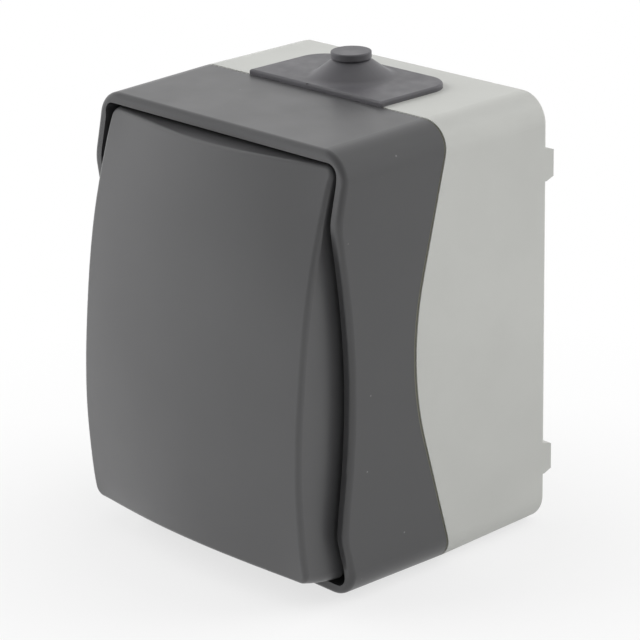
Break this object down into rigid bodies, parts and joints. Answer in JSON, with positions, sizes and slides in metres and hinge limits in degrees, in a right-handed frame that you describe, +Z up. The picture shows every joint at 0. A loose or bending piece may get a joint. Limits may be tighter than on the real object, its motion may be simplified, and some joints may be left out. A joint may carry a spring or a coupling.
{
  "type": "outdoor weatherproof switch",
  "caption": "Surface-mounted weatherproof rocker switch: light grey box, dark wavy cover frame, pillow-shaped rocker and rubber cable gland on top.",
  "frame": {"origin": "centre of the back on the wall plane, midway between the two wall screw holes", "axes": "+Z up, the rocker faces -Y, the wall lies at Y = 0 behind it, +X to the right seen from the front"},
  "size_m": [0.066, 0.0638, 0.0888],
  "materials": {
    "box_plastic": "satin moulded",
    "frame_plastic": "satin moulded",
    "rocker_plastic": "satin moulded",
    "gland_rubber": "matte",
    "gasket_rubber": "matte",
    "seal_rubber": "matte",
    "plated_steel": "zinc plated",
    "spring_steel": "drawn",
    "brass": "bright",
    "contact_silver": "bright",
    "insulator_plastic": "moulded",
    "toggle_plastic": "moulded"
  },
  "bodies": {
    "housing": {"rear_box": "box_plastic", "cable_gland": "gland_rubber", "frame_gasket": "gasket_rubber", "front_frame": "frame_plastic", "cover_screws": "plated_steel", "cover_screw_seals": "seal_rubber", "window_seal": "seal_rubber", "support_strap": "plated_steel", "strap_screws": "plated_steel", "mechanism_body": "insulator_plastic", "mechanism_cover": "insulator_plastic", "mechanism_rivets": "brass", "feed_terminal": "brass", "load_terminal": "brass", "fixed_contact_tip": "contact_silver", "terminal_clamps": "brass", "terminal_screws": "plated_steel"},
    "rocker": {"rocker": "rocker_plastic"},
    "toggle": {"toggle": "toggle_plastic", "toggle_spring": "spring_steel", "spring_plunger": "brass"},
    "contact": {"moving_contact": "brass", "moving_contact_tip": "contact_silver"}
  },
  "joints": [
    {"name": "rocker_tilt", "type": "hinge", "parent": "housing", "child": "rocker", "pos_m": [0, -0.0469, 0], "axis": [1, 0, 0], "range_deg": [0, 13.4]},
    {"name": "toggle_tilt", "type": "hinge", "parent": "housing", "child": "toggle", "pos_m": [0, -0.0343, 0], "axis": [1, 0, 0], "range_deg": [-26.8, 0]},
    {"name": "contact_rock", "type": "hinge", "parent": "housing", "child": "contact", "pos_m": [0, -0.0238, 0], "axis": [1, 0, 0], "range_deg": [0, 16.08]}
  ],
  "couplings": [
    {"joint": "toggle_tilt", "follows": "rocker_tilt", "ratio": -2},
    {"joint": "contact_rock", "follows": "rocker_tilt", "ratio": 1.2}
  ]
}
